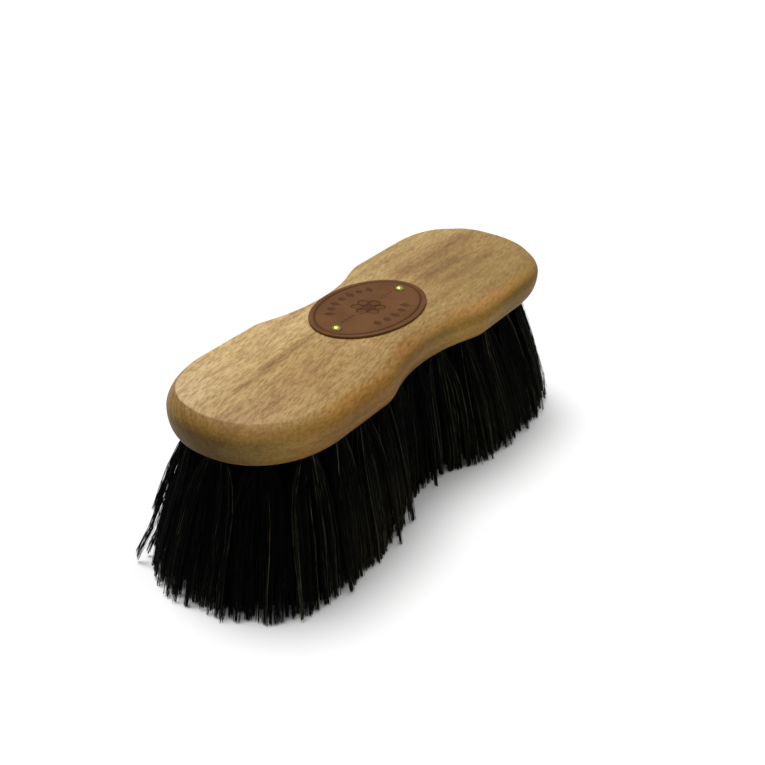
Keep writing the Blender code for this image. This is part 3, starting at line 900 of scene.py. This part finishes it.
def hair_paths(bottom, mouth, tip, tips, haste, towards):
    """Points along each hair of a tuft: out of its hole, fanning quickly, then nearly straight to its tip."""
    count = len(tips)
    offset = tips[:, :2] - tip[:2]
    reach = np.sqrt((offset**2).sum(1)).max()
    packed = offset / reach * ROOT_REACH
    packed = packed + rng.normal(0, 0.35 * MM, packed.shape)
    length = np.maximum(1e-9, np.sqrt((packed**2).sum(1)))[:, None]
    packed = packed * np.minimum(1, WIDEST_ROOT / length)
    side_haste = rng.uniform(3.0, 7.5, (count, 1))
    bow = rng.normal(0, 0.5 * MM, (count, 2))
    wave = rng.normal(0, 0.2 * MM, (count, 2))
    paths = [np.concatenate([bottom[:2] + packed * 0.6, np.full((count, 1), bottom[2] - 0.4 * MM)], 1)]
    change = offset - packed
    outward_change = (change * towards).sum(1)[:, None] * towards
    for share in HAIR_STEPS:
        axis = mouth[:2] + (tip[:2] - mouth[:2]) * (1 - (1 - share) ** 1.2)
        flat = axis + packed + outward_change * (1 - (1 - share) ** haste[:, None])
        flat = flat + (change - outward_change) * (1 - (1 - share) ** side_haste)
        flat = flat + bow * math.sin(math.pi * share) + wave * math.sin(3 * math.pi * share)
        height = mouth[2] + (tips[:, 2] - mouth[2]) * share
        paths.append(np.concatenate([flat, height[:, None]], 1))
    return np.stack(paths, 1)


def tubes(name, paths, radius, tip_radius, materials, slots):
    """Thin three-sided tubes along the paths, closed at both ends, as one mesh."""
    count, steps, _ = paths.shape
    sides = 3
    direction = paths[:, -1] - paths[:, 1]
    direction /= np.linalg.norm(direction, axis=1)[:, None]
    spin = rng.uniform(0, 2 * math.pi, count)
    first = np.cross(direction, np.stack([np.cos(spin), np.sin(spin), 0 * spin], 1))
    first /= np.linalg.norm(first, axis=1)[:, None]
    second = np.cross(direction, first)
    thickness = radius[:, None] * (1 - np.linspace(0, 1, steps) ** 2 * (1 - tip_radius / HAIR_RADIUS))
    verts = np.zeros((count, steps, sides, 3))
    for side in range(sides):
        turn = 2 * math.pi * side / sides
        ray = first * math.cos(turn) + second * math.sin(turn)
        verts[:, :, side] = paths + ray[:, None] * thickness[:, :, None]
    base = np.arange(count)[:, None, None] * steps * sides
    level = np.arange(steps - 1)[None, :, None] * sides
    side = np.arange(sides)[None, None, :]
    following = (side + 1) % sides
    quads = np.stack([base + level + side, base + level + following,
                      base + level + sides + following, base + level + sides + side], -1)
    quads = quads.reshape(-1, 4)
    start = np.arange(count)[:, None] * steps * sides
    root_caps = start + np.array([[2, 1, 0]])
    tip_caps = start + (steps - 1) * sides + np.array([[0, 1, 2]])
    caps = np.concatenate([root_caps, tip_caps])
    mesh = bpy.data.meshes.new(name)
    mesh.vertices.add(count * steps * sides)
    mesh.vertices.foreach_set("co", verts.reshape(-1))
    mesh.loops.add(quads.size + caps.size)
    corners = np.concatenate([quads.reshape(-1), caps.reshape(-1)])
    mesh.loops.foreach_set("vertex_index", corners.astype(np.int32))
    mesh.polygons.add(len(quads) + len(caps))
    starts = np.concatenate([np.arange(len(quads)) * 4, quads.size + np.arange(len(caps)) * 3])
    mesh.polygons.foreach_set("loop_start", starts.astype(np.int32))
    for material in materials:
        mesh.materials.append(material)
    per_quad = np.repeat(slots, (steps - 1) * sides)
    mesh.polygons.foreach_set("material_index", np.concatenate([per_quad, slots, slots]).astype(np.int32))
    mesh.update(calc_edges=True)
    mesh.shade_smooth()
    return mesh


def make_hair(axes, materials):
    """One piece of hair for each tuft."""
    outline = tip_outline()
    normal = outward(outline)
    places = tip_places(axes, outline, normal)
    for (name, bottom, mouth, tip), own in zip(axes, places):
        tips, haste, light = clumped(own, mouth, outline, normal)
        towards = normal[to_outline(own, outline)[0]]
        paths = hair_paths(bottom, mouth, tip, tips, haste, towards)
        slots = np.where(rng.uniform(0, 1, len(own)) < BROWN_HAIRS, 2, light).astype(np.int32)
        radius = HAIR_RADIUS * rng.uniform(0.7, 1.15, len(own)) * (1 + LIGHT_HAIR_THICKENING * (slots > 0))
        piece_name = name.replace("hair_tuft", "tuft_hair")
        mesh = tubes(piece_name, paths, radius, HAIR_TIP_RADIUS, materials, slots)
        add_mesh_piece(piece_name, mesh, (name,))


# ---------------------------------------------------------------- stage


def make_camera():
    """The camera, looking down on the near end from its left."""
    back = Vector((math.sin(AZIMUTH) * math.cos(ELEVATION), -math.cos(AZIMUTH) * math.cos(ELEVATION),
                   math.sin(ELEVATION)))
    right = Vector((0, 0, 1)).cross(back).normalized()
    up = back.cross(right)
    place = Vector((0, 0, UNDERSIDE)) + back * DISTANCE + right * SIDEWAYS + up * UPWARDS
    rolled_right = right * math.cos(ROLL) + up * math.sin(ROLL)
    rolled_up = -right * math.sin(ROLL) + up * math.cos(ROLL)
    data = bpy.data.cameras.new("camera")
    data.lens = LENS
    data.sensor_width = 36.0
    camera = bpy.data.objects.new("camera", data)
    bpy.context.scene.collection.objects.link(camera)
    camera.matrix_world = Matrix.Translation(place) @ Matrix(
        (rolled_right, rolled_up, back)).transposed().to_4x4()
    bpy.context.scene.camera = camera


def make_light():
    """A soft key from above and a little behind, in a surround that is brighter overhead."""
    world = bpy.data.worlds.new("surround")
    world.use_nodes = True
    nodes, links = world.node_tree.nodes, world.node_tree.links
    direction = nodes.new("ShaderNodeTexCoord").outputs["Generated"]
    split = nodes.new("ShaderNodeSeparateXYZ")
    links.new(direction, split.inputs[0])
    ramp = nodes.new("ShaderNodeMapRange")
    ramp.inputs["To Min"].default_value = SKY_LOW
    ramp.inputs["To Max"].default_value = SKY_HIGH
    links.new(split.outputs["Z"], ramp.inputs["Value"])
    background = nodes["Background"]
    background.inputs["Color"].default_value = GLOW_WHITE
    links.new(ramp.outputs[0], background.inputs["Strength"])
    bpy.context.scene.world = world
    data = bpy.data.lights.new("key", "SUN")
    data.energy = KEY_ENERGY
    data.angle = KEY_SPREAD
    key = bpy.data.objects.new("key", data)
    bpy.context.scene.collection.objects.link(key)
    key.rotation_mode = "QUATERNION"
    key.rotation_quaternion = Vector(KEY_FROM).to_track_quat("Z", "Y")


def make_floor(outline):
    """A white floor under the tips, marked where the brush stands on it, so that its glow is taken away there
    as painted shade.
    """
    steps = np.concatenate([[-4.0, -0.5], np.linspace(-0.13, 0.13, 131), [0.5, 4.0]])
    bm = bmesh.new()
    grid = [[bm.verts.new((x, y, 0)) for x in steps] for y in steps]
    for low, high in zip(grid, grid[1:]):
        for i in range(len(steps) - 1):
            bm.faces.new((low[i], low[i + 1], high[i + 1], high[i]))
    mesh = bpy.data.meshes.new("floor")
    bm.to_mesh(mesh)
    bm.free()
    points = np.array([v.co[:2] for v in mesh.vertices])
    within = np.where(inside(points, outline), 1, -1) * to_outline(points, outline)[1]
    # the part the brush stands on, where the floor's glow is taken away as painted shade
    under = mesh.attributes.new("under", "FLOAT", "POINT")
    under.data.foreach_set("value", smooth_share(within, -1 * MM, 4 * MM))
    mesh.materials.append(floor_paper())
    floor = bpy.data.objects.new("floor", mesh)
    bpy.context.scene.collection.objects.link(floor)


def main():
    make_camera()
    make_light()
    make_floor(tip_outline())
    bpy.context.scene.view_settings.view_transform = "Standard"
    axes = tuft_axes()
    make_block(beech(), axes)
    make_badge(leather())
    metal = brass()
    for name in NAILS:
        make_nail(name, metal)
    wire = steel_wire()
    for name, bottom, mouth, _ in axes:
        make_anchor(name.replace("hair_tuft", "wire_anchor"), bottom, mouth, wire)
    make_hair(axes, [horsehair(*kind) for kind in HORSEHAIR])


main()
